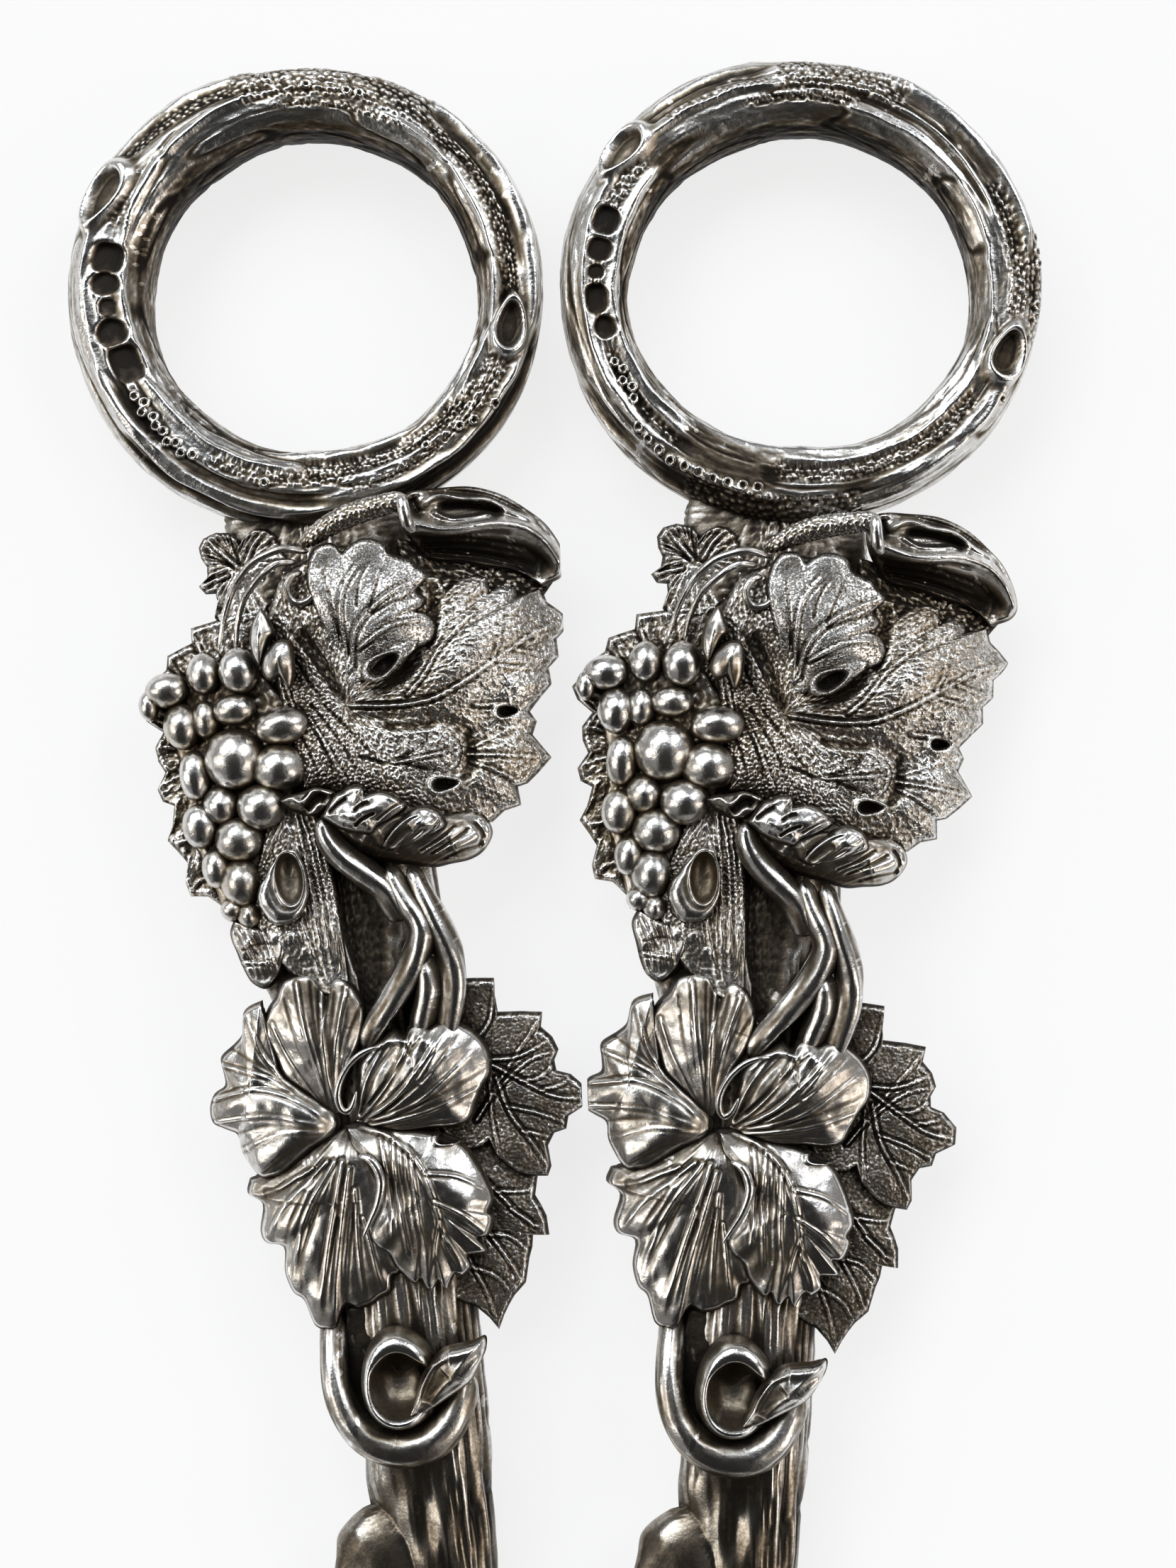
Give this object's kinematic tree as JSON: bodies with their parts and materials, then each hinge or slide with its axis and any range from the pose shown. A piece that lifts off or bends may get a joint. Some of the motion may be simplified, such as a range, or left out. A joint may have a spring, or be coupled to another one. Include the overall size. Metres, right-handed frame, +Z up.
{
  "type": "grape shears",
  "caption": "Grape shears with vine-pattern cast handles, finger rings, leaves and grape bunches, one pivot screw, a cutter blade and a flanged holder blade.",
  "frame": {"origin": "on the pivot screw's axis, at the flat end of the screw that rests on the table", "axes": "+Z up along the pivot, +Y from the pivot towards the finger rings, blades towards -Y, +X across towards the arm that carries the holder blade"},
  "size_m": [0.0688, 0.1928, 0.0096],
  "materials": {
    "ring_silver": "aged cast silver, polished ridges over dark beaded grooves",
    "stem_silver": "aged cast silver with bark grooves and brown tarnish",
    "matte_silver": "aged silver, granulated matte leaf with dark veins",
    "polished_silver": "aged silver, polished",
    "grape_silver": "aged silver, bright smooth grapes in dark tarnish",
    "blade_steel": "polished steel with faint lengthwise grinding"
  },
  "bodies": {
    "right_arm": {"right_finger_ring": "ring_silver", "right_vine_stem": "stem_silver", "right_small_leaf": "matte_silver", "right_grape_leaf": "matte_silver", "right_knot": "polished_silver", "right_grape_bunch": "grape_silver", "right_grape_stalk": "polished_silver", "right_top_bract": "polished_silver", "right_upper_leaf": "matte_silver", "right_curled_leaf": "polished_silver", "right_tendril": "polished_silver", "right_back_leaf": "matte_silver", "right_front_leaf": "polished_silver", "right_bud": "polished_silver", "right_hook": "polished_silver", "right_shank": "polished_silver", "holder_blade": "blade_steel", "pivot_screw": "blade_steel"},
    "left_arm": {"left_finger_ring": "ring_silver", "left_vine_stem": "stem_silver", "left_small_leaf": "matte_silver", "left_grape_leaf": "matte_silver", "left_knot": "polished_silver", "left_grape_bunch": "grape_silver", "left_grape_stalk": "polished_silver", "left_top_bract": "polished_silver", "left_upper_leaf": "matte_silver", "left_curled_leaf": "polished_silver", "left_tendril": "polished_silver", "left_back_leaf": "matte_silver", "left_front_leaf": "polished_silver", "left_bud": "polished_silver", "left_hook": "polished_silver", "left_shank": "polished_silver", "cutter_blade": "blade_steel"}
  },
  "joints": [
    {"name": "blade_pivot", "type": "hinge", "parent": "right_arm", "child": "left_arm", "pos_m": [0, 0, 0], "axis": [0, 0, 1], "range_deg": [0, 45]}
  ]
}
